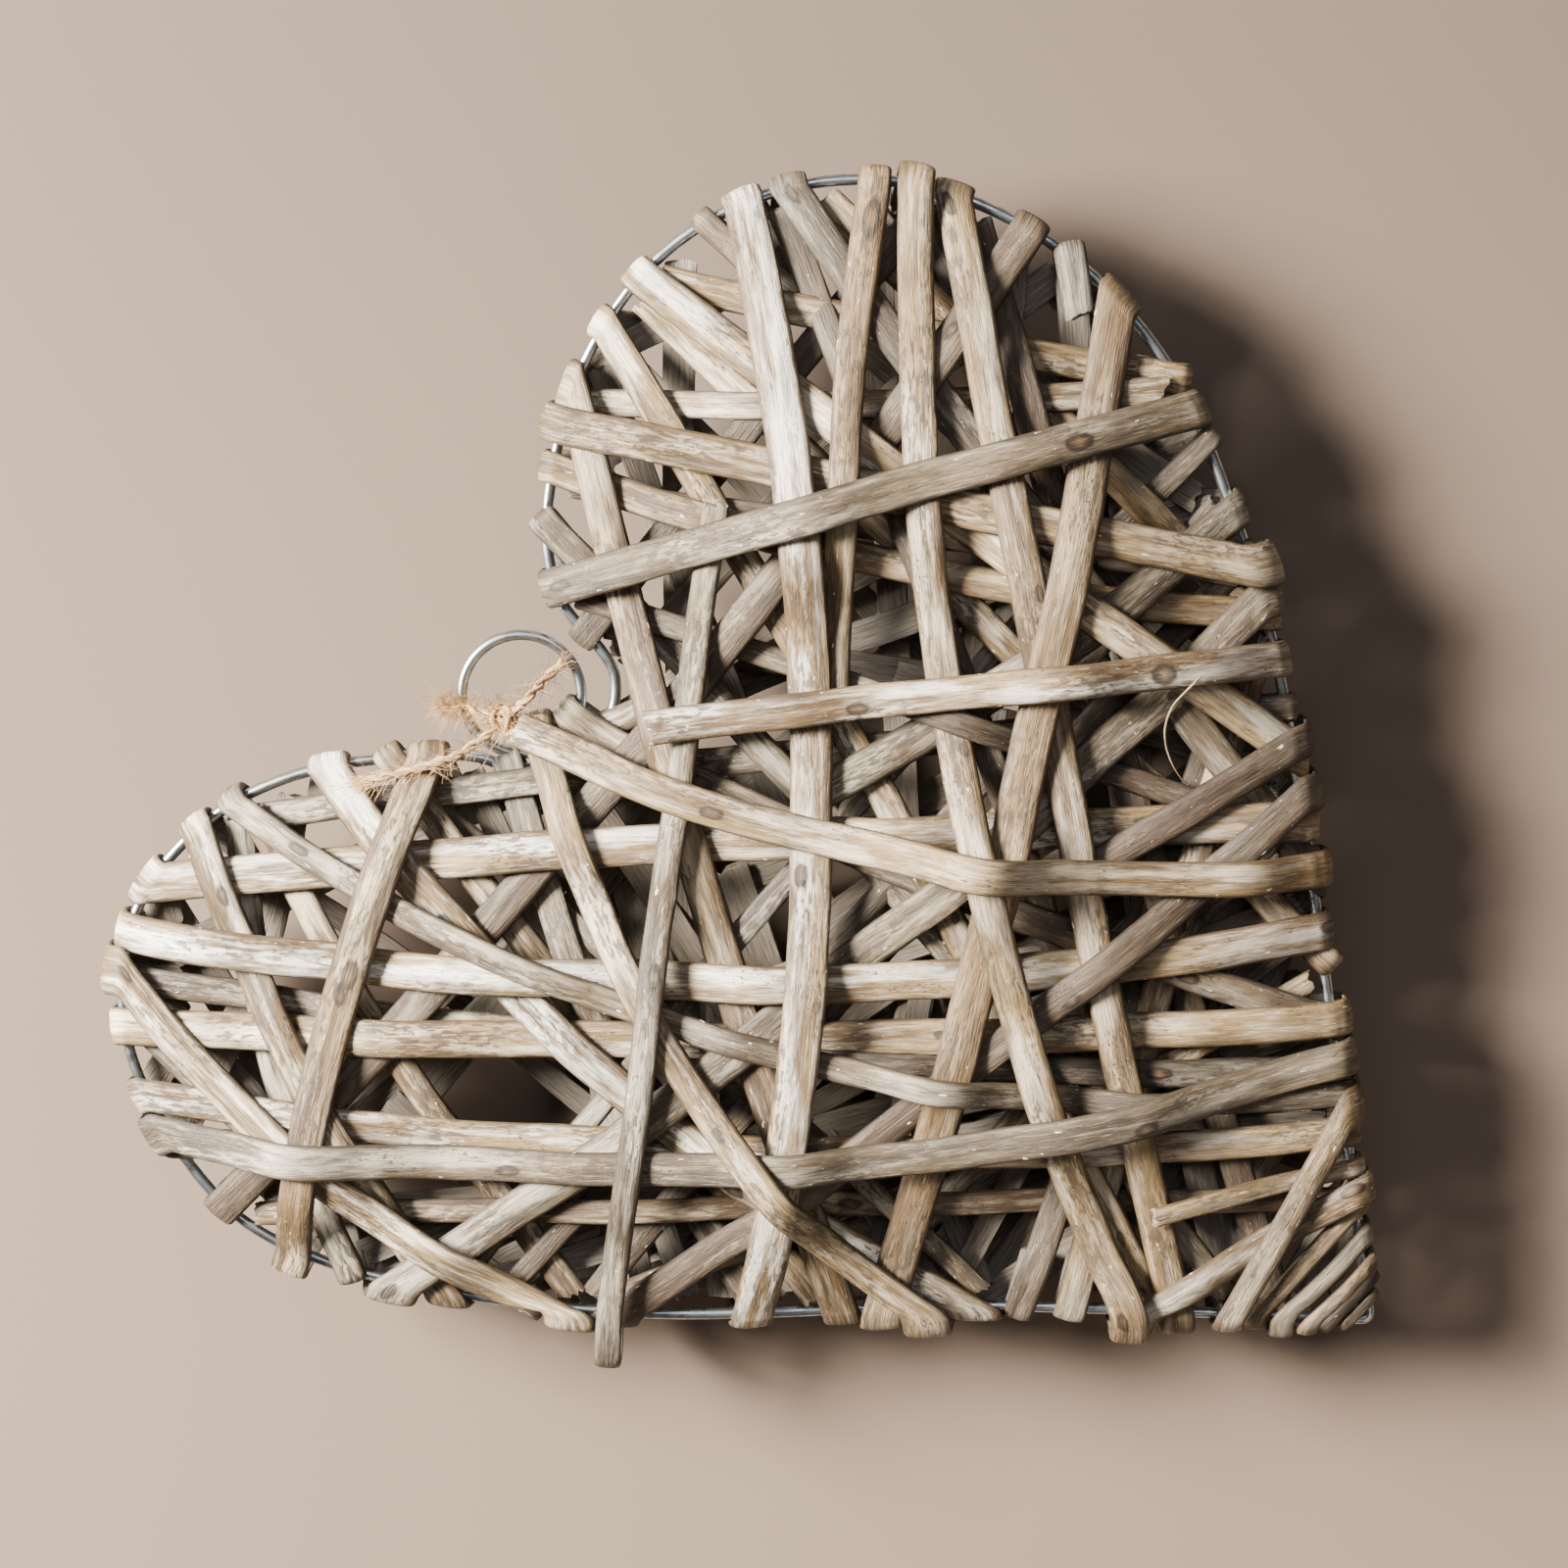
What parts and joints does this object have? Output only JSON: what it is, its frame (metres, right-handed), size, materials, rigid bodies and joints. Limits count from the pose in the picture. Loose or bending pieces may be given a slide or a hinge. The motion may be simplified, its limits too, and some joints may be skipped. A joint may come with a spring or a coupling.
{
  "type": "willow hanging heart",
  "caption": "Puffy hollow heart of woven split willow strips on a bent steel wire, with a steel hanging ring in its cleft and a knotted jute twine",
  "frame": {"origin": "centre of the bottom of the bounding box of the heart lying on its back, twine left out", "axes": "+Z from the resting back of the heart to its front, +Y from its tip to its cleft, +X to its right seen from the front"},
  "size_m": [0.3048, 0.297, 0.0724],
  "materials": {
    "willow": "matt, weathered and faintly washed with grey-white",
    "steel_wire": "galvanised, dull",
    "jute": "hairy two-ply twine"
  },
  "bodies": {
    "root": {"wire_frame": "steel_wire", "hanging_ring": "steel_wire", "willow_strip_01": "willow", "willow_strip_02": "willow", "willow_strip_03": "willow", "willow_strip_04": "willow", "willow_strip_05": "willow", "willow_strip_06": "willow", "willow_strip_07": "willow", "willow_strip_08": "willow", "willow_strip_09": "willow", "willow_strip_10": "willow", "willow_strip_11": "willow", "willow_strip_12": "willow", "willow_strip_13": "willow", "willow_strip_14": "willow", "willow_strip_15": "willow", "willow_strip_16": "willow", "willow_strip_17": "willow", "willow_strip_18": "willow", "willow_strip_19": "willow", "willow_strip_20": "willow", "willow_strip_21": "willow", "willow_strip_22": "willow", "willow_strip_23": "willow", "willow_strip_24": "willow", "willow_strip_25": "willow", "willow_strip_26": "willow", "willow_strip_27": "willow", "willow_strip_28": "willow", "willow_strip_29": "willow", "willow_strip_30": "willow", "willow_strip_31": "willow", "willow_strip_32": "willow", "willow_strip_33": "willow", "willow_strip_34": "willow", "willow_strip_35": "willow", "willow_strip_36": "willow", "willow_strip_37": "willow", "willow_strip_38": "willow", "twine_lead": "jute", "twine_knot": "jute", "twine_tail": "jute", "twine_short_end": "jute"}
  },
  "joints": []
}
